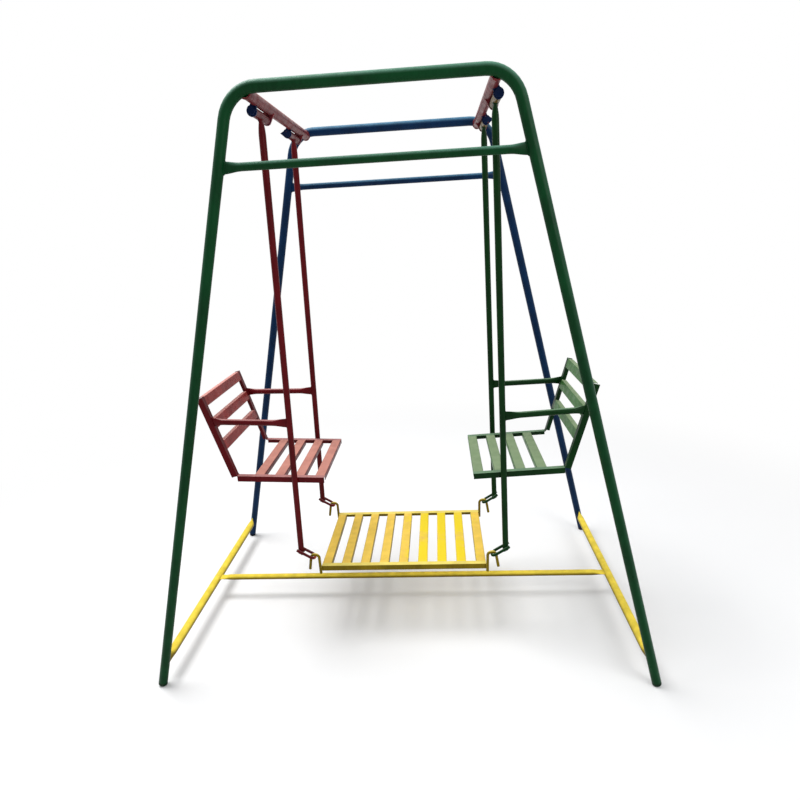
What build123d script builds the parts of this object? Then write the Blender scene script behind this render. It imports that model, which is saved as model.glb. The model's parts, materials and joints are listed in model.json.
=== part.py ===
from build123d import *
from math import cos, pi, radians, sin, sqrt
import os

# Two-seat glider swing of welded steel tube. Millimetres, +X to the right, +Y to the rear, +Z up.
# The origin is on the floor, at the middle of the four feet. The seats face each other along X,
# and every pivot axis runs along Y.

# ---- tube, bar and sheet stock ----
FRAME_TUBE = 31.75
FRAME_WALL = 1.5
BASE_TUBE = 31.75
TIE_TUBE = 25.4
SWING_TUBE = 22.2
LIGHT_WALL = 1.2
ANGLE_LEG = 22.0
ANGLE_THICK = 3.0
SLAT_WIDTH = 38.0
SLAT_DEPTH = 20.0
SLAT_SHEET = 1.5
SLAT_BEND = 4.0
ROD = 11.1

# ---- stand: two leaning U-frames, joined by two top beams and a base ----
TOP_BAR_HEIGHT = 1900.0
FOOT_HALF_WIDTH = 900.0
TOP_HALF_WIDTH = 381.0
FOOT_HALF_DEPTH = 557.0
TOP_HALF_DEPTH = 384.0
CORNER_RADIUS = 100.0
CROSSBAR_DROP = 190.0
BASE_HEIGHT = 98.0
BEAM_INSET = 45.0
BEAM_DROP = 11.0
CAP_HEIGHT = 16.0
CAP_ROUND = 8.0
CAP_SPIGOT = 22.0
CAP_GAP = 0.1

# ---- tube ends that are pressed flat before welding ----
PRESS_GAP = 1.0
PRESS_TAPER = 55.0
PRESS_FLAT = 10.0
PRESS_STATIONS = 5
HANGER_PRESS_GAP = 7.6
HANGER_PRESS_TAPER = 45.0

# ---- top pivots ----
PIVOT_OUTSET = 14.0
WASHER_TO_BEAM = 1.0388
BUSH_OUTER = 26.0
BUSH_LENGTH = 140.0
BOLT = 14.0
BOLT_HEAD_FLATS = 22.0
BOLT_HEAD_HEIGHT = 9.0
NUT_HEIGHT = 11.0
BOLT_TAIL = 5.0
RUNNING_CLEARANCE = 0.1
WASHER_OUTER = 27.0
WASHER_THICK = 3.0
END_PLAY = 0.4
EAR_RADIUS = 15.0
EAR_NECK = 20.0
EAR_POINT = 25.0
EAR_THICK = 5.0

# ---- swings: hangers, seats and arms ----
HANGER_TOP_INSET = 3.0
HANGER_FOOT_OUTSET = 52.0
HANGER_TOP_Y = 208.0
HANGER_FOOT_Y = 228.0
HANGER_FOOT_RISE = 26.0
SEAT_FRONT_INSET = 69.0
SEAT_FRONT_HEIGHT = 678.0
SEAT_LENGTH = 333.0
SEAT_SLOPE_RISE = 15.0
BACK_LEAN = 79.0
BACK_RISE = 312.0
SEAT_SLATS = 4
SEAT_SLAT_PITCH = 78.0
BACK_SLATS = 3
BACK_SLAT_PITCH = 89.0
ARM_ABOVE_SEAT = 208.0
ARM_RISE = 11.0
ARM_BACK_INSET = 6.0

# ---- platform, and the rod links that carry it ----
LOWER_PIVOT_HEIGHT = 340.0
LOOP_REACH = 65.0
LOOP_RISE = 42.0
HOOK_GAPE = 22.0
HOOK_SPLAY = 10.0
HOOK_TAIL = 53.0
HOOK_WELD_TAIL = 12.0
HOOK_CLEARANCE = 0.3
PLATFORM_TOP = 298.0
PLATFORM_SLATS = 9
RAIL_BEYOND_HOOK = 1.0

# ---- sizes that follow from the ones above ----
frame_radius = FRAME_TUBE / 2
base_radius = BASE_TUBE / 2
swing_radius = SWING_TUBE / 2
rod_radius = ROD / 2
crossbar_height = TOP_BAR_HEIGHT - CROSSBAR_DROP
beam_x = TOP_HALF_WIDTH - BEAM_INSET
beam_height = TOP_BAR_HEIGHT - BEAM_DROP
pivot_x = beam_x + PIVOT_OUTSET
beam_to_pivot = frame_radius + WASHER_OUTER / 2 + WASHER_TO_BEAM
pivot_height = beam_height - sqrt(beam_to_pivot**2 - PIVOT_OUTSET**2)
bush_bore = BOLT / 2 + RUNNING_CLEARANCE
hanger_top_x = pivot_x - HANGER_TOP_INSET
hanger_foot_x = pivot_x + HANGER_FOOT_OUTSET
hanger_foot_height = LOWER_PIVOT_HEIGHT + HANGER_FOOT_RISE
arm_height = SEAT_FRONT_HEIGHT + SEAT_SLOPE_RISE + ARM_ABOVE_SEAT
hook_rise = 2 * rod_radius + HOOK_CLEARANCE
hook_bend = (HOOK_GAPE + ROD) / 2
hook_weld_x = pivot_x - hook_bend
platform_half_length = hook_weld_x - rod_radius
platform_half_width = HANGER_FOOT_Y + RAIL_BEYOND_HOOK

LEFT, RIGHT = -1, 1
FRONT, REAR = -1, 1
SIDES = {"left": LEFT, "right": RIGHT}
ENDS = {"front": FRONT, "rear": REAR}

nodes = {}


# ---- helpers ----
def rod_between(start, end, radius):
    """Solid round bar from one point to another."""
    run = end - start
    return extrude(Plane(origin=start, z_dir=run.normalized()) * Circle(radius), run.length)


def tube_between(start, end, diameter, wall):
    """Round tube with open, square ends."""
    outer = rod_between(start, end, diameter / 2)
    return outer - rod_between(start, end, diameter / 2 - wall)


def slow_shoulder(share):
    """Share of roundness along a press that leaves and meets the round tube gently."""
    return share * share * (3 - 2 * share)


def full_shoulder(share):
    """Share of roundness along a press that swells at once from the flat."""
    return share * (2 - share)


def pressed_end(tip, inward, wide, radius, flat_half, taper, shoulder):
    """End of a round bar pressed flat across: wide is the direction in which it spreads.

    The length round the section stays that of the round bar."""
    def section(distance, share):
        thin = flat_half + (radius - flat_half) * share
        long = thin + pi / 2 * (radius - thin)
        plane = Plane(origin=tip + inward * distance, x_dir=wide, z_dir=inward)
        return plane * Ellipse(long, thin)

    flat = extrude(section(0, 0), PRESS_FLAT)
    stations = []
    for step in range(PRESS_STATIONS):
        share = step / (PRESS_STATIONS - 1)
        stations.append(section(PRESS_FLAT + taper * share, shoulder(share)))
    return flat + loft(stations)


def pressed_bar(start, end, radius, flat_half, wide_start, wide_end, taper, shoulder):
    """Round bar with one end or both pressed flat."""
    axis = (end - start).normalized()
    press = axis * (PRESS_FLAT + taper)
    round_start = start + press if wide_start else start
    round_end = end - press if wide_end else end
    bar = rod_between(round_start, round_end, radius)
    if wide_start:
        bar += pressed_end(start, axis, wide_start, radius, flat_half, taper, shoulder)
    if wide_end:
        bar += pressed_end(end, -axis, wide_end, radius, flat_half, taper, shoulder)
    return bar


def pressed_tube(
    start, end, diameter, wide_start=None, wide_end=None,
    gap=PRESS_GAP, taper=PRESS_TAPER, shoulder=slow_shoulder
):
    """Light tube with one end or both pressed flat, which leaves a gap between its walls there."""
    def bar(radius, flat_half):
        return pressed_bar(start, end, radius, flat_half, wide_start, wide_end, taper, shoulder)

    radius = diameter / 2
    return bar(radius, gap / 2 + LIGHT_WALL) - bar(radius - LIGHT_WALL, gap / 2)


def plate(sketch, y, thickness):
    """Plate whose outline is drawn in X and Z, and which runs from y towards the rear."""
    face = Plane(origin=(0, y, 0), x_dir=(1, 0, 0), z_dir=(0, -1, 0)) * sketch
    return extrude(face, -thickness)


def leg_point(side, end, height):
    """Centre of a leg at a height above the floor."""
    share = height / TOP_BAR_HEIGHT
    x = FOOT_HALF_WIDTH + (TOP_HALF_WIDTH - FOOT_HALF_WIDTH) * share
    y = FOOT_HALF_DEPTH + (TOP_HALF_DEPTH - FOOT_HALF_DEPTH) * share
    return Vector(side * x, end * y, height)


def leg_direction(side, end):
    return (leg_point(side, end, TOP_BAR_HEIGHT) - leg_point(side, end, 0)).normalized()


def leg_bar(side, end):
    """Solid bar the size of a leg, for fitting other tubes to it."""
    return rod_between(leg_point(side, end, 0), leg_point(side, end, TOP_BAR_HEIGHT), frame_radius)


# ---- stand ----
def frame_path(end):
    """Centreline of a U-frame: up one leg, along the top bar and down the other leg."""
    start = leg_point(LEFT, end, 0) + leg_direction(LEFT, end) * CAP_HEIGHT
    finish = leg_point(RIGHT, end, 0) + leg_direction(RIGHT, end) * CAP_HEIGHT
    corner_left = leg_point(LEFT, end, TOP_BAR_HEIGHT)
    corner_right = leg_point(RIGHT, end, TOP_BAR_HEIGHT)
    return FilletPolyline(start, corner_left, corner_right, finish, radius=CORNER_RADIUS)


def bent_bar(path, radius):
    """Round bar that follows a path of straight runs and arcs."""
    return sweep(Plane(origin=path @ 0, z_dir=path % 0) * Circle(radius), path=path)


def foot_cap(side, end):
    """Rounded plug in the end of a leg, flat where it meets the floor."""
    seat = Plane(origin=leg_point(side, end, 0), z_dir=leg_direction(side, end))
    head = extrude(Circle(frame_radius), CAP_HEIGHT)
    head = fillet(head.edges().sort_by(Axis.Z)[0], CAP_ROUND)
    spigot = extrude(Circle(frame_radius - FRAME_WALL - CAP_GAP), CAP_HEIGHT + CAP_SPIGOT)
    spigot -= extrude(Rectangle(FRAME_TUBE, FRAME_TUBE), CAP_HEIGHT)
    cap = seat * (head + spigot)
    under = (Align.CENTER, Align.CENTER, Align.MAX)
    below_floor = Box(4 * FRAME_TUBE, 4 * FRAME_TUBE, FRAME_TUBE, align=under)
    return cap - Pos(leg_point(side, end, 0)) * below_floor


frame_bars = {name: bent_bar(frame_path(end), frame_radius) for name, end in ENDS.items()}

for name, end in ENDS.items():
    nodes[f"{name}_frame_tube"] = frame_bars[name] - bent_bar(frame_path(end), frame_radius - FRAME_WALL)
    nodes[f"{name}_foot_caps"] = [foot_cap(side, end) for side in SIDES.values()]

    crossbar = pressed_tube(
        leg_point(LEFT, end, crossbar_height),
        leg_point(RIGHT, end, crossbar_height),
        SWING_TUBE,
        wide_start=Vector(0, 0, 1),
        wide_end=Vector(0, 0, 1),
    )
    nodes[f"{name}_crossbar"] = crossbar - leg_bar(LEFT, end) - leg_bar(RIGHT, end)

for name, side in SIDES.items():
    beam_end = Vector(side * beam_x, TOP_HALF_DEPTH, beam_height)
    beam_start = Vector(side * beam_x, -TOP_HALF_DEPTH, beam_height)
    beam = tube_between(beam_start, beam_end, FRAME_TUBE, FRAME_WALL)
    nodes[f"{name}_top_beam"] = beam - frame_bars["front"] - frame_bars["rear"]

    rail = pressed_tube(
        leg_point(side, FRONT, BASE_HEIGHT),
        leg_point(side, REAR, BASE_HEIGHT),
        BASE_TUBE,
        wide_start=Vector(0, 0, 1),
        wide_end=Vector(0, 0, 1),
    )
    nodes[f"{name}_base_rail"] = rail - leg_bar(side, FRONT) - leg_bar(side, REAR)

base_rail_x = leg_point(RIGHT, FRONT, BASE_HEIGHT).X
tie = pressed_tube(
    Vector(-base_rail_x, 0, BASE_HEIGHT),
    Vector(base_rail_x, 0, BASE_HEIGHT),
    TIE_TUBE,
    wide_start=Vector(0, 1, 0),
    wide_end=Vector(0, 1, 0),
)
for side in SIDES.values():
    rail_front = leg_point(side, FRONT, BASE_HEIGHT)
    rail_rear = leg_point(side, REAR, BASE_HEIGHT)
    tie -= rod_between(rail_front, rail_rear, base_radius)
nodes["base_tie"] = tie


# ---- top pivots ----
ear_inner = BUSH_LENGTH / 2 + END_PLAY + WASHER_THICK
ear_outer = ear_inner + EAR_THICK
head_outer = ear_outer + BOLT_HEAD_HEIGHT
tail_outer = ear_outer + NUT_HEIGHT + BOLT_TAIL


def neck_ear(side):
    """Round ear on a straight neck up to the beam."""
    to_beam = Vector(side * (beam_x - pivot_x), beam_height - pivot_height)
    neck = Plane(origin=to_beam / 2, x_dir=to_beam.normalized()) * Rectangle(to_beam.length, EAR_NECK)
    return Circle(EAR_RADIUS) + neck


def pointed_ear(side):
    """Ear cut from a square offcut, with one corner left standing outwards."""
    corner = [(0, EAR_RADIUS), (side * EAR_POINT, 2), (side * EAR_RADIUS / 2, -EAR_RADIUS * 0.866)]
    return neck_ear(side) + make_face(Polyline((0, 0), *corner, close=True))


def hull_ear(side):
    """Ear as wide as the beam at its top, drawn in to the pivot."""
    beam_circle = Pos(side * (beam_x - pivot_x), beam_height - pivot_height) * Circle(frame_radius)
    return make_hull(Circle(EAR_RADIUS).edges() + beam_circle.edges())


def pivot_plate(side, outline, y):
    """Ear plate at one end of a pivot, fitted under its beam and drilled for the bolt."""
    beam_circle = Pos(side * (beam_x - pivot_x), beam_height - pivot_height) * Circle(frame_radius)
    drilled = outline - beam_circle - Circle(BOLT / 2)
    return plate(Pos(side * pivot_x, pivot_height) * drilled, y, EAR_THICK)


bolts = []
nuts = []
washers = []
for side_name, side in SIDES.items():
    for end_name, end in ENDS.items():
        y = end * HANGER_TOP_Y
        near_outline = neck_ear(side) if end == FRONT else pointed_ear(side)
        nodes[f"{side_name}_{end_name}_near_ear"] = pivot_plate(side, near_outline, y - ear_outer)
        nodes[f"{side_name}_{end_name}_far_ear"] = pivot_plate(side, hull_ear(side), y + ear_inner)

        centre = Pos(side * pivot_x, pivot_height)
        hexagon = RegularPolygon(BOLT_HEAD_FLATS / 2, 6, major_radius=False)
        shank = plate(centre * Circle(BOLT / 2), y - ear_outer, ear_outer + tail_outer)
        bolts.append(shank + plate(centre * hexagon, y - head_outer, BOLT_HEAD_HEIGHT))
        nuts.append(plate(centre * (hexagon - Circle(BOLT / 2)), y + ear_outer, NUT_HEIGHT))
        ring = Circle(WASHER_OUTER / 2) - Circle(BOLT / 2)
        washers.append(plate(centre * ring, y - ear_inner, WASHER_THICK))
        washers.append(plate(centre * ring, y + ear_inner - WASHER_THICK, WASHER_THICK))

nodes["pivot_bolts"] = bolts
nodes["pivot_nuts"] = nuts
nodes["pivot_washers"] = washers


# ---- swings ----
def hanger_point(side, end, height):
    """Centre of a hanger at a height above the floor."""
    share = (pivot_height - height) / (pivot_height - hanger_foot_height)
    x = hanger_top_x + (hanger_foot_x - hanger_top_x) * share
    y = HANGER_TOP_Y + (HANGER_FOOT_Y - HANGER_TOP_Y) * share
    return Vector(side * x, end * y, height)


def hanger_bar(end):
    """Solid bar the size of a right hanger, for fitting other pieces to it."""
    foot = hanger_point(RIGHT, end, hanger_foot_height)
    return rod_between(foot, hanger_point(RIGHT, end, pivot_height), swing_radius)


seat_run = Vector(SEAT_LENGTH, SEAT_SLOPE_RISE)
back_run = Vector(BACK_LEAN, BACK_RISE)
seat_front = Vector(pivot_x - SEAT_FRONT_INSET, SEAT_FRONT_HEIGHT)
seat_corner = seat_front + seat_run
back_top = seat_corner + back_run
hanger_at_seat = hanger_point(RIGHT, REAR, SEAT_FRONT_HEIGHT).Y
seat_half_width = hanger_at_seat - swing_radius


def outward(run):
    """Unit vector square to a run of the seat's side, away from the sitter."""
    return Vector(run.Y, -run.X).normalized()


def strip(start, end, depth):
    """Outline of one run of the seat's side, as deep as given behind its sitting face."""
    back = outward(end - start) * depth
    return make_face(Polyline(start, end, end + back, start + back, close=True))


def side_outline():
    """The flange that carries the slats: one strip that bends up at the seat's rear corner."""
    bend = 2 * ANGLE_THICK
    path = FilletPolyline(seat_front, seat_corner, back_top, radius=bend)
    offset_start = seat_front + outward(seat_run) * ANGLE_THICK
    offset_end = back_top + outward(back_run) * ANGLE_THICK
    meet = seat_corner + (outward(seat_run) + outward(back_run)) * (
        ANGLE_THICK / (1 + outward(seat_run).dot(outward(back_run)))
    )
    under = FilletPolyline(offset_start, meet, offset_end, radius=bend + ANGLE_THICK)
    top_end = Line(back_top, offset_end)
    front_end = Line(offset_start, seat_front)
    return make_face([*path.edges(), top_end, *under.edges(), front_end])


def mirrored(shape, side):
    """The swings are modelled on the right and mirrored for the left."""
    return shape if side == RIGHT else mirror(shape, Plane.YZ)


def seat_side(side, end):
    """Angle bar, notched in its outer leg and bent up at the corner."""
    inner_y = end * (seat_half_width - ANGLE_LEG)
    outer_y = end * seat_half_width
    web_y = end * (seat_half_width - ANGLE_THICK)
    flange = plate(side_outline(), min(inner_y, outer_y), ANGLE_LEG)
    webs = strip(seat_front, seat_corner, ANGLE_LEG) + strip(seat_corner, back_top, ANGLE_LEG)
    angle = flange + plate(webs, min(web_y, outer_y), ANGLE_THICK)
    return mirrored(angle - hanger_bar(end), side)


def channel_section(width, depth, bend):
    """Flat back at the top with its two corners rounded, and two sides that hang from it."""
    block = Rectangle(width, depth, align=(Align.CENTER, Align.MAX))
    return fillet(block.vertices().group_by(Axis.Y)[-1], bend)


def cross_slat(centre, run, half_length):
    """Pressed channel from front to rear: its back is flush with the face that bears the load,
    and its ends butt against the flanges of the side bars."""
    inner_bend = SLAT_BEND - SLAT_SHEET
    outer = channel_section(SLAT_WIDTH, SLAT_DEPTH, SLAT_BEND)
    inner = channel_section(SLAT_WIDTH - 2 * SLAT_SHEET, SLAT_DEPTH, inner_bend)
    section = outer - Pos(0, -SLAT_SHEET) * inner
    face = Plane(origin=(centre.X, centre.Y, 0), x_dir=(run.X, run.Y, 0))
    return plate(face * section, -half_length, 2 * half_length)


slat_half_length = seat_half_width - ANGLE_LEG


def seat_slat(side, index):
    """Slats are counted from the front edge of the seat."""
    distance = SLAT_WIDTH / 2 + index * SEAT_SLAT_PITCH
    centre = seat_front + seat_run.normalized() * distance
    return mirrored(cross_slat(centre, seat_run, slat_half_length), side)


def back_slat(side, index):
    """Slats are counted from the top of the back."""
    distance = SLAT_WIDTH / 2 + index * BACK_SLAT_PITCH
    centre = back_top - back_run.normalized() * distance
    return mirrored(cross_slat(centre, back_run, slat_half_length), side)


def hanger(side, end):
    """Long tube from the pivot bush to the platform link, pressed flat under the bush."""
    top = hanger_point(side, end, pivot_height)
    foot = hanger_point(side, end, hanger_foot_height)
    tube = pressed_tube(
        top, foot, SWING_TUBE, wide_start=Vector(0, 1, 0),
        gap=HANGER_PRESS_GAP, taper=HANGER_PRESS_TAPER, shoulder=full_shoulder
    )
    bush_start = Vector(side * pivot_x, end * HANGER_TOP_Y - BUSH_LENGTH / 2, pivot_height)
    bush_end = bush_start + Vector(0, BUSH_LENGTH, 0)
    upwards = (Align.CENTER, Align.CENTER, Align.MIN)
    above = Pos(top) * Box(BUSH_OUTER * 2, BUSH_LENGTH, BUSH_OUTER, align=upwards)
    return tube - rod_between(bush_start, bush_end, BUSH_OUTER / 2) - above


def bush(side, end):
    """Thick tube that turns on the pivot bolt."""
    ring = Circle(BUSH_OUTER / 2) - Circle(bush_bore)
    return plate(Pos(side * pivot_x, pivot_height) * ring, end * HANGER_TOP_Y - BUSH_LENGTH / 2, BUSH_LENGTH)


def arm(side, end):
    """Arm rest from the hanger to the back, its ends pressed flat and upright."""
    start = hanger_point(RIGHT, end, arm_height)
    rise = arm_height + ARM_RISE
    back_x = seat_corner.X + BACK_LEAN * (rise - seat_corner.Y) / BACK_RISE
    finish = Vector(back_x + ANGLE_LEG, end * (seat_half_width - ARM_BACK_INSET), rise)
    tube = pressed_tube(start, finish, SWING_TUBE, wide_start=Vector(0, 0, 1), wide_end=Vector(0, 0, 1))
    reach = 4 * seat_half_width
    behind_back = plate(strip(seat_corner, back_top, 4 * ANGLE_LEG), -reach / 2, reach)
    return mirrored(tube - hanger_bar(end) - behind_back, side)


def loop(side, end):
    """Rod bent to a U round the hanger's foot; its closed end is the platform's pivot."""
    y = end * HANGER_FOOT_Y
    bend = swing_radius + rod_radius
    pivot = Vector(pivot_x, y, LOWER_PIVOT_HEIGHT)
    run = Vector(LOOP_REACH, 0, LOOP_RISE)
    across = Vector(0, bend, 0)
    tangent = pivot + run.normalized() * bend
    arc = ThreePointArc(tangent - across, pivot, tangent + across)
    near_leg = Line(pivot + run - across, tangent - across)
    far_leg = Line(tangent + across, pivot + run + across)
    path = Wire([near_leg, arc, far_leg])
    return mirrored(bent_bar(path, rod_radius) - hanger_bar(end), side)


for side_name, side in SIDES.items():
    for end_name, end in ENDS.items():
        nodes[f"{side_name}_{end_name}_hanger"] = hanger(side, end)
        nodes[f"{side_name}_{end_name}_bush"] = bush(side, end)
        nodes[f"{side_name}_{end_name}_seat_side"] = seat_side(side, end)
        nodes[f"{side_name}_{end_name}_arm"] = arm(side, end)
    nodes[f"{side_name}_loops"] = [loop(side, end) for end in ENDS.values()]
    for index in range(SEAT_SLATS):
        nodes[f"{side_name}_seat_slat_{index + 1}"] = seat_slat(side, index)
    for index in range(BACK_SLATS):
        nodes[f"{side_name}_back_slat_{index + 1}"] = back_slat(side, index)


# ---- platform ----
def platform_rail(end):
    """Angle bar along one long edge of the platform, one leg flat on top and one hanging."""
    def bar(width, depth):
        y = end * (platform_half_width - width / 2)
        size = Box(2 * platform_half_length, width, depth, align=(Align.CENTER, Align.CENTER, Align.MAX))
        return Pos(0, y, PLATFORM_TOP) * size

    return bar(ANGLE_LEG, ANGLE_THICK) + bar(ANGLE_THICK, ANGLE_LEG)


def hook(side, end):
    """Rod bent over the loop: one leg is welded to the rail's end, the other splays outwards."""
    y = end * HANGER_FOOT_Y
    crown = Vector(pivot_x, y, LOWER_PIVOT_HEIGHT + hook_rise)
    centre = crown - Vector(0, 0, hook_bend)
    splay = Vector(sin(radians(HOOK_SPLAY)), 0, -cos(radians(HOOK_SPLAY)))
    weld_spring = centre - Vector(hook_bend, 0, 0)
    weld_foot = Vector(hook_weld_x, y, PLATFORM_TOP - ANGLE_LEG - HOOK_WELD_TAIL)
    free_spring = centre + Vector(-splay.Z, 0, splay.X) * hook_bend
    weld_leg = Line(weld_foot, weld_spring)
    arc = ThreePointArc(weld_spring, crown, free_spring)
    free_leg = Line(free_spring, free_spring + splay * HOOK_TAIL)
    return mirrored(bent_bar(Wire([weld_leg, arc, free_leg]), rod_radius), side)


def platform_slat(index):
    """Slats run from front to rear, the outer two flush with the rail ends."""
    pitch = (2 * platform_half_length - SLAT_WIDTH) / (PLATFORM_SLATS - 1)
    x = SLAT_WIDTH / 2 - platform_half_length + index * pitch
    return cross_slat(Vector(x, PLATFORM_TOP), Vector(1, 0), platform_half_width - ANGLE_LEG)


for name, end in ENDS.items():
    nodes[f"platform_{name}_rail"] = platform_rail(end)
nodes["platform_slats"] = [platform_slat(index) for index in range(PLATFORM_SLATS)]
nodes["platform_hooks"] = [hook(side, end) for side in SIDES.values() for end in ENDS.values()]


# ---- output ----
os.makedirs("parts", exist_ok=True)
for name, shape in nodes.items():
    solids = shape if isinstance(shape, list) else [shape]
    export_step(Compound(children=[s for piece in solids for s in piece.solids()]), f"parts/{name}.step")
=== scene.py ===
import json
import math

import bpy
from mathutils import Matrix, Vector, noise


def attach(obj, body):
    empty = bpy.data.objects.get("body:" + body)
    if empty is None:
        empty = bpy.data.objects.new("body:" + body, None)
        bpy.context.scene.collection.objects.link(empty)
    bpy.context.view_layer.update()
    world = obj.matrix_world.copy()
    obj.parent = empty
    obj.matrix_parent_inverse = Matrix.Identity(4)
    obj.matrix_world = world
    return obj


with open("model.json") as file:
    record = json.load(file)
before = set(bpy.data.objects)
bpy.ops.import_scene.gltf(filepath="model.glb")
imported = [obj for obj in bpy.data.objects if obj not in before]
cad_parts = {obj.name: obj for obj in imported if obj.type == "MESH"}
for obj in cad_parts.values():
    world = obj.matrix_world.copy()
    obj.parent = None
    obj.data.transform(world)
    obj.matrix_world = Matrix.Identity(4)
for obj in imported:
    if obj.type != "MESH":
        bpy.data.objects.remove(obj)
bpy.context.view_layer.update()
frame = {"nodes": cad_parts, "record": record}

scene = bpy.context.scene

LEFT, RIGHT = -1, 1
FRONT, REAR = -1, 1
SIDES = {"left": LEFT, "right": RIGHT}
ENDS = {"front": FRONT, "rear": REAR}
HANDS = (-1, 1)

# X goes across the stand from the red swing to the green one, and Y along the beams from front to rear.
ACROSS = Vector((1, 0, 0))
ALONG = Vector((0, 1, 0))
UP = Vector((0, 0, 1))


# ---- sizes that the welds and the worn spots follow, in metres, heights from the floor ----
FRAME_RADIUS = 0.015875
BASE_RADIUS = 0.015875
SWING_RADIUS = 0.0111
ROD_RADIUS = 0.00555
BUSH_RADIUS = 0.013
TOP_BAR_HEIGHT = 1.900
FOOT_HALF = Vector((0.900, 0.557))
TOP_HALF = Vector((0.381, 0.384))
CROSSBAR_HEIGHT = 1.710
BASE_HEIGHT = 0.098
BEAM_X = 0.336
BEAM_HEIGHT = 1.889
PIVOT_X = 0.350
PIVOT_HEIGHT = 1.862
LOWER_PIVOT_HEIGHT = 0.340
HANGER_TOP = Vector((0.347, 0.208, PIVOT_HEIGHT))
HANGER_FOOT = Vector((0.402, 0.228, 0.366))
LOOP_RISE = Vector((0.065, 0.042))
ARM_HEIGHT = 0.901
ARM_BACK_HEIGHT = 0.912
ARM_BACK_INSET = 0.006
SEAT_FRONT_HEIGHT = 0.678
SEAT_CORNER = Vector((0.614, 0.693))
BACK_TOP = Vector((0.693, 1.005))
PLATFORM_TOP = 0.298
ANGLE_LEG = 0.022
HOOK_GAPE = 0.022
EAR_OUTER_FACE = 0.0784

# Half thickness and half width of the tubes' pressed ends.
CROSSBAR_PRESS = (0.0017, 0.0165)
ARM_PRESS = (0.0017, 0.0165)
BASE_PRESS = (0.0017, 0.0240)
TIE_PRESS = (0.0017, 0.0190)
NECK_PRESS = (0.0058, 0.0141)


# ---- node trees ----
def linear(red, green, blue):
    """Screen colour, 0 to 255, as the shader's linear colour."""
    def channel(value):
        value /= 255
        return value / 12.92 if value <= 0.04045 else ((value + 0.055) / 1.055) ** 2.4

    return (channel(red), channel(green), channel(blue), 1.0)


def scaled(colour, factor, lift=0.0):
    """A linear colour made darker or brighter."""
    return tuple(min(1.0, channel * factor + lift) for channel in colour[:3]) + (1.0,)


class Tree:
    """Short forms for the nodes of one material or world."""

    def __init__(self, owner):
        owner.use_nodes = True
        self.tree = owner.node_tree

    def __getitem__(self, name):
        return self.tree.nodes[name]

    def add(self, kind, **settings):
        node = self.tree.nodes.new(kind)
        for key, value in settings.items():
            setattr(node, key, value)
        return node

    def feed(self, socket, value):
        """Link another node's output to a socket, or set a plain value on it."""
        if isinstance(value, bpy.types.NodeSocket):
            self.tree.links.new(value, socket)
        else:
            socket.default_value = value

    def maths(self, operation, one, two, clamp=False):
        node = self.add("ShaderNodeMath", operation=operation, use_clamp=clamp)
        self.feed(node.inputs[0], one)
        self.feed(node.inputs[1], two)
        return node.outputs[0]

    def mix(self, factor, one, two):
        """Colour that turns from one to two as the factor goes from 0 to 1."""
        node = self.add("ShaderNodeMix", data_type="RGBA")
        factor_socket, first_colour, second_colour, colour_result = 0, 6, 7, 2
        self.feed(node.inputs[factor_socket], factor)
        self.feed(node.inputs[first_colour], one)
        self.feed(node.inputs[second_colour], two)
        return node.outputs[colour_result]

    def mix_shaders(self, factor, one, two):
        node = self.add("ShaderNodeMixShader")
        for socket, value in zip(node.inputs, (factor, one, two)):
            self.feed(socket, value)
        return node.outputs[0]

    def ramp(self, value, low, high, start=0.0, stop=1.0):
        """Smooth step from start to stop as the value goes from low to high."""
        node = self.add("ShaderNodeMapRange", interpolation_type="SMOOTHSTEP")
        self.feed(node.inputs["Value"], value)
        self.feed(node.inputs["From Min"], low)
        self.feed(node.inputs["From Max"], high)
        self.feed(node.inputs["To Min"], start)
        self.feed(node.inputs["To Max"], stop)
        return node.outputs["Result"]

    def coordinates(self, kind):
        return self.add("ShaderNodeTexCoord").outputs[kind]

    def pattern(self, scale, detail, stretch=None):
        """Noise in the object's frame, drawn out along the axes whose stretch is under 1."""
        place = self.coordinates("Object")
        if stretch:
            mapping = self.add("ShaderNodeMapping")
            self.feed(mapping.inputs["Scale"], stretch)
            self.feed(mapping.inputs["Vector"], place)
            place = mapping.outputs["Vector"]
        node = self.add("ShaderNodeTexNoise")
        self.feed(node.inputs["Scale"], scale)
        self.feed(node.inputs["Detail"], detail)
        self.feed(node.inputs["Vector"], place)
        return node.outputs["Fac"]

    def seen_directly(self):
        """1 for the camera, reflections and through glass, and 0 where the surface would light the object."""
        rays = self.add("ShaderNodeLightPath")
        total = rays.outputs["Is Camera Ray"]
        for name in ("Is Glossy Ray", "Is Transmission Ray"):
            total = self.maths("ADD", total, rays.outputs[name], clamp=True)
        return total


# ---- paint ----
# Each pattern is a noise's scale, its detail and where needed its stretch, and the values it fades between.
TONE, TONE_FADE = (9.0, 4.0), (0.36, 0.66)
STROKES, STROKES_FADE = (130.0, 2.0, (1.0, 1.0, 0.25)), (0.38, 0.68)
CLOUDS, CLOUDS_FADE = (26.0, 5.0), (0.30, 0.72)
CHIPS, CHIPS_FADE = (58.0, 6.0), (0.72, 0.745)
GLOSS, GLOSS_FADE = (34.0, 4.0), (0.3, 0.7)
RAGGED_EDGE = (45.0, 6.0)
ORANGE_PEEL = (420.0, 2.0)
BRUSH_MARKS = (90.0, 3.0, (1.0, 1.0, 0.3))
NOISE_MEAN = 0.5

DARKER = 0.68
BRIGHTER, BRIGHTER_LIFT = 1.45, 0.004
STROKES_SHARE = 0.18
CHIPS_PER_WEAR = 0.16
CHIPPED = (120, 66, 52)
SPECULAR_LEVEL = 0.09
ROUGHNESS = (0.27, 0.46)
DUST_AND_HIGHLIGHT_ROUGHNESS = 0.25
BUMP_STRENGTH = 0.22
BUMP_DISTANCE = 0.0006


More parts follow.
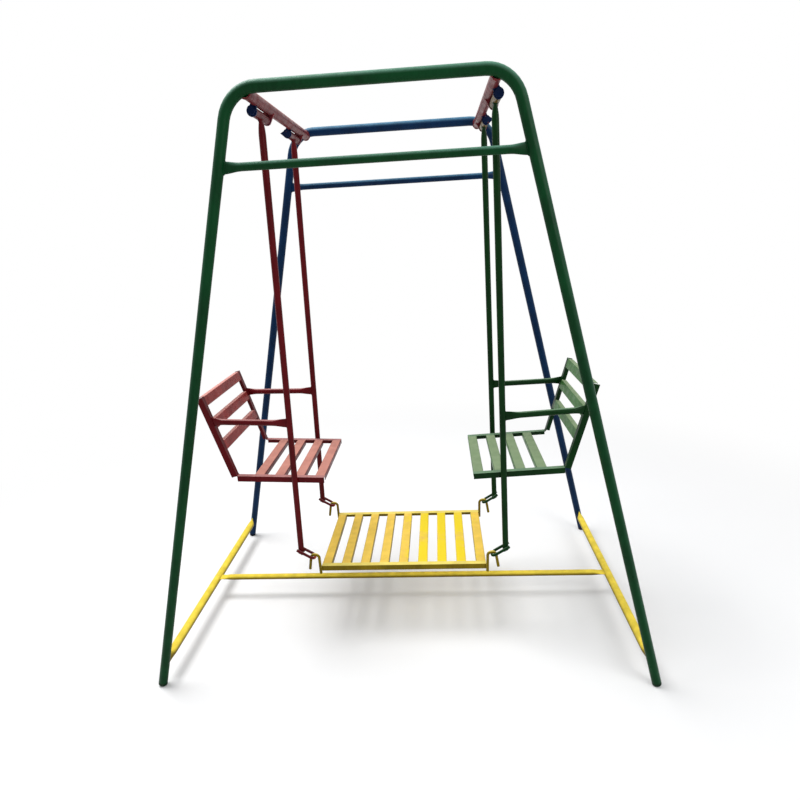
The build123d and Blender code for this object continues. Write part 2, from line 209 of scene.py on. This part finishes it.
def paint(name, colour, top, dust_and_highlight=0.5, wear=0.0, patch=0.25, top_from=0.55, top_to=0.97, spots=()):
    """Brushed enamel on steel: uneven tone, paler faces that look up with dust and a painted highlight,
    orange peel and worn spots.

    The top colour is dust and a painted highlight for the light from above. Its share grows from none to the
    share given for dust and painted highlight as the Z of a face's normal goes from top_from to top_to, and
    is lower by up to patch in places.
    More wear gives more chips. Each of spots is a place, a colour and the distances at which that colour
    starts and stops fading."""
    material = bpy.data.materials.new(name)
    tree = Tree(material)
    base = linear(*colour)
    coat = tree.mix(tree.ramp(tree.pattern(*TONE), *TONE_FADE), scaled(base, DARKER), base)
    strokes = tree.ramp(tree.pattern(*STROKES), *STROKES_FADE, 0.0, STROKES_SHARE)
    coat = tree.mix(strokes, coat, scaled(base, BRIGHTER, BRIGHTER_LIFT))

    # Faces that look up turn towards the top colour, which is dust and also a painted highlight for the light
    # from above.
    facing = tree.add("ShaderNodeSeparateXYZ")
    tree.feed(facing.inputs[0], tree.coordinates("Normal"))
    upward = tree.ramp(facing.outputs["Z"], top_from, top_to)
    clouds = tree.ramp(tree.pattern(*CLOUDS), *CLOUDS_FADE, 1.0 - patch, 1.0)
    dust_and_highlight_mask = tree.maths("MULTIPLY", tree.maths("MULTIPLY", upward, clouds), dust_and_highlight)
    coat = tree.mix(dust_and_highlight_mask, coat, linear(*top))

    for place, tint, near, far in spots:
        away = tree.add("ShaderNodeVectorMath", operation="DISTANCE")
        tree.feed(away.inputs[0], tree.coordinates("Object"))
        tree.feed(away.inputs[1], place)
        ragged = tree.maths("MULTIPLY", tree.pattern(*RAGGED_EDGE), far)
        distance = tree.maths("ADD", away.outputs["Value"], ragged)
        shift = far * NOISE_MEAN
        coat = tree.mix(tree.ramp(distance, near + shift, far + shift, 1.0, 0.0), coat, linear(*tint))

    if wear:
        low, high = (limit - wear * CHIPS_PER_WEAR for limit in CHIPS_FADE)
        coat = tree.mix(tree.ramp(tree.pattern(*CHIPS), low, high), coat, linear(*CHIPPED))

    shader = tree["Principled BSDF"]
    tree.feed(shader.inputs["Base Color"], coat)
    tree.feed(shader.inputs["Specular IOR Level"], SPECULAR_LEVEL)
    gloss = tree.ramp(tree.pattern(*GLOSS), *GLOSS_FADE, *ROUGHNESS)
    roughness = tree.maths("ADD", gloss, tree.maths("MULTIPLY", dust_and_highlight_mask, DUST_AND_HIGHLIGHT_ROUGHNESS))
    tree.feed(shader.inputs["Roughness"], roughness)
    bump = tree.add("ShaderNodeBump")
    tree.feed(bump.inputs["Strength"], BUMP_STRENGTH)
    tree.feed(bump.inputs["Distance"], BUMP_DISTANCE)
    relief = tree.maths("ADD", tree.pattern(*ORANGE_PEEL), tree.pattern(*BRUSH_MARKS))
    tree.feed(bump.inputs["Height"], relief)
    tree.feed(shader.inputs["Normal"], bump.outputs[0])
    return material


# Where the hooks rub the paint off the red swing's loops, and two yellower places on the platform's slats.
RUBBED = [
    ((-PIVOT_X, end * HANGER_FOOT.y, LOWER_PIVOT_HEIGHT), (206, 104, 78), 0.002, 0.016)
    for end in ENDS.values()
]
LEMON = [((0.15, y, PLATFORM_TOP), (240, 212, 44), 0.09, 0.17) for y in (-0.14, 0.12)]
# Each coat's top colour is dust and a painted highlight on the faces that look up.
COATS = {
    "frame_green": paint(
        "front_green", (2, 57, 25), (106, 156, 134), dust_and_highlight=0.75, top_from=0.05, top_to=0.9
    ),
    "cap_green": paint("cap_green", (4, 40, 16), (60, 96, 70), dust_and_highlight=0.3, wear=0.3),
    "frame_blue": paint(
        "rear_blue", (1, 37, 72), (90, 138, 166), dust_and_highlight=0.75, top_from=0.0, top_to=0.9
    ),
    "cap_blue": paint("cap_blue", (2, 16, 34), (40, 60, 90), dust_and_highlight=0.3, wear=0.3),
    "beam_red": paint(
        "beam_red", (104, 35, 38), (214, 138, 128), dust_and_highlight=0.6, wear=0.3, top_from=0.1
    ),
    # On the yellow base and platform the dark olive base colour is painted shade on faces that look sideways
    # or down, and the bright top colour is painted light on the faces that look up.
    "base_yellow": paint(
        "base_yellow", (121, 100, 2), (250, 223, 80), dust_and_highlight=0.97, top_from=-0.15, top_to=0.75
    ),
    "ear_blue": paint("ear_blue", (6, 26, 66), (58, 80, 112), dust_and_highlight=0.3, wear=0.2),
    "ear_red": paint("ear_red", (120, 40, 46), (196, 130, 126), dust_and_highlight=0.4, wear=0.3),
    "bolt_blue": paint("bolt_blue", (6, 24, 58), (64, 84, 112), dust_and_highlight=0.3, wear=0.35),
    "swing_red": paint(
        "swing_red", (87, 6, 14), (206, 150, 146), dust_and_highlight=0.62, top_from=0.7, spots=RUBBED
    ),
    "seat_slat_red": paint("seat_slat_red", (102, 38, 40), (193, 134, 120), dust_and_highlight=0.95, patch=0.18),
    "back_slat_red": paint("back_slat_red", (140, 54, 52), (218, 160, 150), dust_and_highlight=0.8, patch=0.18),
    "swing_green": paint("swing_green", (2, 45, 9), (138, 172, 138), dust_and_highlight=0.6, top_from=0.7),
    "slat_green": paint("slat_green", (62, 106, 54), (134, 152, 118), dust_and_highlight=0.92, patch=0.18),
    "platform_yellow": paint(
        "platform_yellow", (122, 102, 2), (252, 230, 120), dust_and_highlight=0.92, patch=0.2
    ),
    "platform_slat_yellow": paint(
        "platform_slat_yellow", (150, 126, 34), (250, 210, 94), dust_and_highlight=0.95, patch=0.2, spots=LEMON
    ),
}

# The green swing's bushes are painted olive, though their slot in the record is the green swing's.
OLIVE = paint("hub_olive", (96, 78, 36), (164, 146, 112), dust_and_highlight=0.4, wear=0.3)
OLIVE_NODES = ("right_front_bush", "right_rear_bush")

slots = {row["node"]: row["material_slot"] for row in frame["record"]["subparts"]}
for name, piece in frame["nodes"].items():
    piece.data.materials.clear()
    piece.data.materials.append(OLIVE if name in OLIVE_NODES else COATS[slots[name]])


# ---- weld beads, in metres ----
BEAD_RADIUS = {
    "tie": 0.0026, "crossbar": 0.0026, "base": 0.0042, "beam": 0.0022, "bush": 0.0026, "ear": 0.0022,
    "arm": 0.0022, "arm_back": 0.0020, "seat": 0.0024, "loop": 0.0044, "hook": 0.0030,
}
BEAD_SIDES = 8
BEAD_STEP = 0.0022
RIPPLE, RIPPLE_PHASE = 0.20, 2.4
LUMPS, LUMPS_SCALE = 0.22, 260
TAPER_START, TAPER_STEP = 0.35, 0.4

OVAL_STEPS = 36
ARC_HALF_STEPS = 6
NEAR_EAR_SPREAD = math.radians(36)
FAR_EAR_SPREAD = math.radians(74)
EAR_WELD_PROUD = 0.0006
SEAT_WELD_HALF_GAP = 0.0064
SEAT_WELD_PROUD = 0.0018
SEAT_WELD_ABOVE = 0.003
SEAT_WELD_LENGTH = 0.021
LOOP_WELD_PROUD = 0.0008
LOOP_WELD_HALF_LENGTH = 0.012
HOOK_WELD_TOP = 0.002
HOOK_WELD_APART, HOOK_WELD_INWARD = 0.9, 0.7    # times the rod's radius


def spread(points, closed):
    """The same path, with its points one step of the bead apart."""
    ring = points + [points[0]] if closed else points
    even = []
    for start, stop in zip(ring, ring[1:]):
        parts = max(1, round((stop - start).length / BEAD_STEP))
        even += [start.lerp(stop, part / parts) for part in range(parts)]
    return even if closed else even + [ring[-1]]


def weld(name, body, slot, points, radius, closed=False):
    """Lumpy bead of weld metal along a path, in the paint of what it joins."""
    path = spread(points, closed)
    count = len(path)
    verts, faces = [], []
    for index, point in enumerate(path):
        before = path[index - 1] if index or closed else point
        after = path[(index + 1) % count] if index + 1 < count or closed else point
        tangent = (after - before).normalized()
        side = tangent.orthogonal().normalized()
        up = tangent.cross(side)
        ripple = RIPPLE * (0.5 + 0.5 * math.sin(index * RIPPLE_PHASE))
        lump = 1 + LUMPS * noise.noise(point * LUMPS_SCALE) + ripple
        from_end = min(index, count - 1 - index)
        taper = 1.0 if closed else min(1.0, TAPER_START + TAPER_STEP * from_end)
        for turn in range(BEAD_SIDES):
            angle = 2 * math.pi * turn / BEAD_SIDES
            offset = (math.cos(angle) * side + math.sin(angle) * up) * radius * lump * taper
            verts.append(point + offset)
    for index in range(count if closed else count - 1):
        here = index * BEAD_SIDES
        there = (index + 1) % count * BEAD_SIDES
        for turn in range(BEAD_SIDES):
            beside = (turn + 1) % BEAD_SIDES
            faces.append((here + turn, here + beside, there + beside, there + turn))
    if not closed:
        last = (count - 1) * BEAD_SIDES
        faces.append(tuple(range(BEAD_SIDES))[::-1])
        faces.append(tuple(last + turn for turn in range(BEAD_SIDES)))
    mesh = bpy.data.meshes.new(name)
    mesh.from_pydata(verts, [], faces)
    mesh.shade_smooth()
    mesh.materials.append(COATS[slot])
    bead = bpy.data.objects.new(name, mesh)
    scene.collection.objects.link(bead)
    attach(bead, body)


def oval(origin, run, wide, halves):
    """Points round the section of a pressed tube that goes along run, with its width towards wide."""
    thin_half, wide_half = halves
    wide = (wide - wide.dot(run) * run).normalized()
    thin = run.cross(wide)
    for step in range(OVAL_STEPS):
        angle = math.tau * step / OVAL_STEPS
        yield origin + math.cos(angle) * wide_half * wide + math.sin(angle) * thin_half * thin


def against_tube(origin, run, wide, halves, target, axis, radius):
    """Closed path on which a pressed tube that starts inside a round tube comes out of it, or grazes it."""
    run = run.normalized()
    axis = axis.normalized()
    flat = run - run.dot(axis) * axis
    path = []
    for start in oval(origin, run, wide, halves):
        gap = start - target
        gap -= gap.dot(axis) * axis
        a, b, c = flat.dot(flat), 2 * gap.dot(flat), gap.dot(gap) - radius * radius
        reach = (-b + math.sqrt(max(0.0, b * b - 4 * a * c))) / (2 * a)
        path.append(start + reach * run)
    return path


def against_face(origin, run, wide, halves, point, normal):
    """Closed path on which a pressed tube's end meets a flat face."""
    run = run.normalized()
    path = []
    for start in oval(origin, run, wide, halves):
        path.append(start + (point - start).dot(normal) / run.dot(normal) * run)
    return path


def round_beam(side, y, spread_half):
    """Path round the underside of a top beam, centred on the direction of the pivot."""
    down = math.atan2(PIVOT_HEIGHT - BEAM_HEIGHT, PIVOT_X - BEAM_X)
    path = []
    for step in range(2 * ARC_HALF_STEPS + 1):
        angle = down + spread_half * (step / ARC_HALF_STEPS - 1)
        x = BEAM_X + FRAME_RADIUS * math.cos(angle)
        path.append(Vector((side * x, y, BEAM_HEIGHT + FRAME_RADIUS * math.sin(angle))))
    return path


def leg_at(side, end, height):
    """Centre of a frame's leg at a height above the floor."""
    x, y = FOOT_HALF.lerp(TOP_HALF, height / TOP_BAR_HEIGHT)
    return Vector((side * x, end * y, height))


def hanger_at(side, end, height):
    """Centre of a hanger at a height above the floor."""
    point = HANGER_TOP.lerp(HANGER_FOOT, (PIVOT_HEIGHT - height) / (PIVOT_HEIGHT - HANGER_FOOT.z))
    return Vector((side * point.x, end * point.y, point.z))


SEAT_SIDE_Y = hanger_at(RIGHT, REAR, SEAT_FRONT_HEIGHT).y - SWING_RADIUS


def weld_corner(tag, side, end, slot):
    """Beads round the ends of a crossbar, a base rail and a top beam at one corner of the stand."""
    leg_run = leg_at(side, end, TOP_BAR_HEIGHT) - leg_at(side, end, 0)
    for kind, height, run, halves in (
        ("crossbar", CROSSBAR_HEIGHT, -side * ACROSS, CROSSBAR_PRESS),
        ("base", BASE_HEIGHT, -end * ALONG, BASE_PRESS),
    ):
        joint = leg_at(side, end, height)
        path = against_tube(joint, run, UP, halves, joint, leg_run, FRAME_RADIUS)
        weld(f"{tag}_{kind}_weld", "frame", slot, path, BEAD_RADIUS[kind], closed=True)

    beam = Vector((side * BEAM_X, end * TOP_HALF.y, BEAM_HEIGHT))
    bar = Vector((0, end * TOP_HALF.y, TOP_BAR_HEIGHT))
    path = against_tube(beam, -end * ALONG, UP, (FRAME_RADIUS, FRAME_RADIUS), bar, ACROSS, FRAME_RADIUS)
    weld(f"{tag}_beam_weld", "frame", "beam_red", path, BEAD_RADIUS["beam"], closed=True)


def weld_pivot(tag, side, end, swing, slot):
    """Beads round the hanger's neck on its bush, and along the two ears on the beam."""
    pivot = Vector((side * PIVOT_X, end * HANGER_TOP.y, PIVOT_HEIGHT))
    neck = hanger_at(side, end, PIVOT_HEIGHT)
    run = hanger_at(side, end, LOWER_PIVOT_HEIGHT) - neck
    path = against_tube(neck, run, ALONG, NECK_PRESS, pivot, ALONG, BUSH_RADIUS)
    weld(f"{tag}_bush_weld", swing, slot, path, BEAD_RADIUS["bush"], closed=True)

    for ear, face, ear_slot, spread_half in (
        ("near", -1, "ear_blue", NEAR_EAR_SPREAD),
        ("far", 1, "ear_red", FAR_EAR_SPREAD),
    ):
        path = round_beam(side, pivot.y + face * (EAR_OUTER_FACE + EAR_WELD_PROUD), spread_half)
        weld(f"{tag}_{ear}_ear_weld", "frame", ear_slot, path, BEAD_RADIUS["ear"])


def weld_arm(tag, side, end, swing, slot):
    """Beads round the two ends of an arm, on the hanger and on the angle of the back."""
    start = hanger_at(side, end, ARM_HEIGHT)
    hanger_run = hanger_at(side, end, LOWER_PIVOT_HEIGHT) - hanger_at(side, end, PIVOT_HEIGHT)
    lean = BACK_TOP - SEAT_CORNER
    back_x = SEAT_CORNER.x + lean.x * (ARM_BACK_HEIGHT - SEAT_CORNER.y) / lean.y
    stop = Vector((side * back_x, end * (SEAT_SIDE_Y - ARM_BACK_INSET), ARM_BACK_HEIGHT))
    run = stop - start
    path = against_tube(start, run, UP, ARM_PRESS, start, hanger_run, SWING_RADIUS)
    weld(f"{tag}_arm_weld", swing, slot, path, BEAD_RADIUS["arm"], closed=True)

    back_normal = Vector((side * lean.y, 0, -lean.x)).normalized()
    path = against_face(start, run, UP, ARM_PRESS, stop, back_normal)
    weld(f"{tag}_arm_back_weld", swing, slot, path, BEAD_RADIUS["arm_back"], closed=True)


def weld_seat(tag, side, end, swing, slot):
    """Two upright beads where the seat's angle lies against the hanger."""
    x = hanger_at(side, end, SEAT_FRONT_HEIGHT).x
    y = end * (SEAT_SIDE_Y + SEAT_WELD_PROUD)
    for hand in HANDS:
        top = Vector((x + hand * SEAT_WELD_HALF_GAP, y, SEAT_FRONT_HEIGHT + SEAT_WELD_ABOVE))
        path = [top, top - SEAT_WELD_LENGTH * UP]
        weld(f"{tag}_seat_weld_{hand + 2}", swing, slot, path, BEAD_RADIUS["seat"])


def weld_loop(tag, side, end, swing, slot):
    """Beads on both sides of a hanger's foot, along its rod loop."""
    foot = Vector((side * HANGER_FOOT.x, end * HANGER_FOOT.y, HANGER_FOOT.z))
    run = Vector((side * LOOP_RISE.x, 0, LOOP_RISE.y)).normalized()
    for hand in HANDS:
        middle = foot + hand * (SWING_RADIUS + LOOP_WELD_PROUD) * ALONG
        path = [middle - run * LOOP_WELD_HALF_LENGTH, middle, middle + run * LOOP_WELD_HALF_LENGTH]
        weld(f"{tag}_loop_weld_{hand + 2}", swing, slot, path, BEAD_RADIUS["loop"])


def weld_hook(tag, side, end):
    """Two upright beads between a hook's shank and the platform's rail."""
    shank_x = PIVOT_X - (HOOK_GAPE + 2 * ROD_RADIUS) / 2
    shank = Vector((side * shank_x, end * HANGER_FOOT.y, PLATFORM_TOP))
    inward = side * ROD_RADIUS * HOOK_WELD_INWARD * ACROSS
    for hand in HANDS:
        edge = shank + hand * ROD_RADIUS * HOOK_WELD_APART * ALONG - inward
        path = [edge - HOOK_WELD_TOP * UP, edge - ANGLE_LEG * UP]
        weld(f"{tag}_hook_weld_{hand + 2}", "platform", "platform_yellow", path, BEAD_RADIUS["hook"])


for side_name, side in SIDES.items():
    joint = Vector((leg_at(side, REAR, BASE_HEIGHT).x, 0, BASE_HEIGHT))
    path = against_tube(joint, -side * ACROSS, ALONG, TIE_PRESS, joint, ALONG, BASE_RADIUS)
    weld(f"{side_name}_tie_weld", "frame", "base_yellow", path, BEAD_RADIUS["tie"], closed=True)

for end_name, end in ENDS.items():
    for side_name, side in SIDES.items():
        tag = f"{side_name}_{end_name}"
        swing = f"{side_name}_swing"
        swing_slot = "swing_red" if side == LEFT else "swing_green"
        weld_corner(tag, side, end, "frame_green" if end == FRONT else "frame_blue")
        weld_pivot(tag, side, end, swing, swing_slot)
        weld_arm(tag, side, end, swing, swing_slot)
        weld_seat(tag, side, end, swing, swing_slot)
        weld_loop(tag, side, end, swing, swing_slot)
        weld_hook(tag, side, end)


# ---- floor, light and camera ----
FLOOR_HALF = 40
FLOOR_BELOW = 0.0005
FLOOR_WHITE_FROM, FLOOR_WHITE_TO = 1.3, 3.2    # distances from the object's middle
FLOOR_COLOUR = (0.9, 0.9, 0.9, 1.0)
FLOOR_ROUGHNESS = 0.9
SKY_COLOUR, SKY_STRENGTH = (0.97, 0.98, 1.0, 1.0), 0.55
BACKDROP_COLOUR, BACKDROP_STRENGTH = (1.0, 1.0, 1.0, 1.0), 1.0
LAMP_TARGET = (0, 0, 0.8)

CAMERA_PLACE = (0.16535, -2.123085, 1.52372)
CAMERA_TURNS = (-4.319, 22.402, -3.211)    # degrees of turn to the right, tilt down and roll
CAMERA_SENSOR = 36.0
CAMERA_LENS = 25.2
CAMERA_SHIFT = (-0.00365, 0.07725)
CAMERA_CLIP_START = 0.05


def pale_floor():
    """Pale matte floor that keeps the shadow, and turns white away from the object when seen directly."""
    material = bpy.data.materials.new("pale_floor")
    tree = Tree(material)
    matte = tree["Principled BSDF"]
    tree.feed(matte.inputs["Base Color"], FLOOR_COLOUR)
    tree.feed(matte.inputs["Roughness"], FLOOR_ROUGHNESS)
    white = tree.add("ShaderNodeEmission")
    away = tree.add("ShaderNodeVectorMath", operation="LENGTH")
    tree.feed(away.inputs[0], tree.coordinates("Object"))
    far_off = tree.ramp(away.outputs["Value"], FLOOR_WHITE_FROM, FLOOR_WHITE_TO)
    whiteness = tree.maths("MULTIPLY", far_off, tree.seen_directly())
    surface = tree.mix_shaders(whiteness, matte.outputs[0], white.outputs[0])
    tree.feed(tree["Material Output"].inputs["Surface"], surface)
    return material


def studio():
    """Soft light from all round, with a white backdrop when seen directly."""
    world = bpy.data.worlds.new("studio")
    tree = Tree(world)
    sky = tree["Background"]
    tree.feed(sky.inputs["Color"], SKY_COLOUR)
    tree.feed(sky.inputs["Strength"], SKY_STRENGTH)
    backdrop = tree.add("ShaderNodeBackground")
    tree.feed(backdrop.inputs["Color"], BACKDROP_COLOUR)
    tree.feed(backdrop.inputs["Strength"], BACKDROP_STRENGTH)
    surface = tree.mix_shaders(tree.seen_directly(), sky.outputs[0], backdrop.outputs[0])
    tree.feed(tree["World Output"].inputs["Surface"], surface)
    return world


def lamp(name, place, size, power):
    """Large soft area lamp aimed at the object."""
    data = bpy.data.lights.new(name, "AREA")
    data.shape = "DISK"
    data.size = size
    data.energy = power
    made = bpy.data.objects.new(name, data)
    scene.collection.objects.link(made)
    made.location = place
    made.rotation_mode = "QUATERNION"
    made.rotation_quaternion = (Vector(LAMP_TARGET) - Vector(place)).to_track_quat("-Z", "Y")


floor_mesh = bpy.data.meshes.new("floor")
corners = [(x * FLOOR_HALF, y * FLOOR_HALF, 0) for x, y in ((-1, -1), (1, -1), (1, 1), (-1, 1))]
floor_mesh.from_pydata(corners, [], [(0, 1, 2, 3)])
floor_mesh.materials.append(pale_floor())
floor = bpy.data.objects.new("floor", floor_mesh)
floor.location.z = -FLOOR_BELOW
scene.collection.objects.link(floor)

scene.world = studio()
lamp("key", (-1.6, 0.6, 4.8), size=2.4, power=172)
lamp("fill", (2.6, -2.6, 3.2), size=2.6, power=54)

camera_data = bpy.data.cameras.new("camera")
camera = bpy.data.objects.new("camera", camera_data)
scene.collection.objects.link(camera)
scene.camera = camera
yaw, pitch, roll = (math.radians(angle) for angle in CAMERA_TURNS)
forward = Vector((math.sin(yaw) * math.cos(pitch), math.cos(yaw) * math.cos(pitch), -math.sin(pitch)))
level = Vector((math.cos(yaw), -math.sin(yaw), 0))
upright = level.cross(forward)
image_right = math.cos(roll) * level + math.sin(roll) * upright
image_up = -math.sin(roll) * level + math.cos(roll) * upright
pose = Matrix((image_right, image_up, -forward)).transposed().to_4x4()
pose.translation = CAMERA_PLACE
camera.matrix_world = pose
camera_data.sensor_width = CAMERA_SENSOR
camera_data.lens = CAMERA_LENS
camera_data.shift_x, camera_data.shift_y = CAMERA_SHIFT
camera_data.clip_start = CAMERA_CLIP_START

scene.view_settings.view_transform = "Standard"
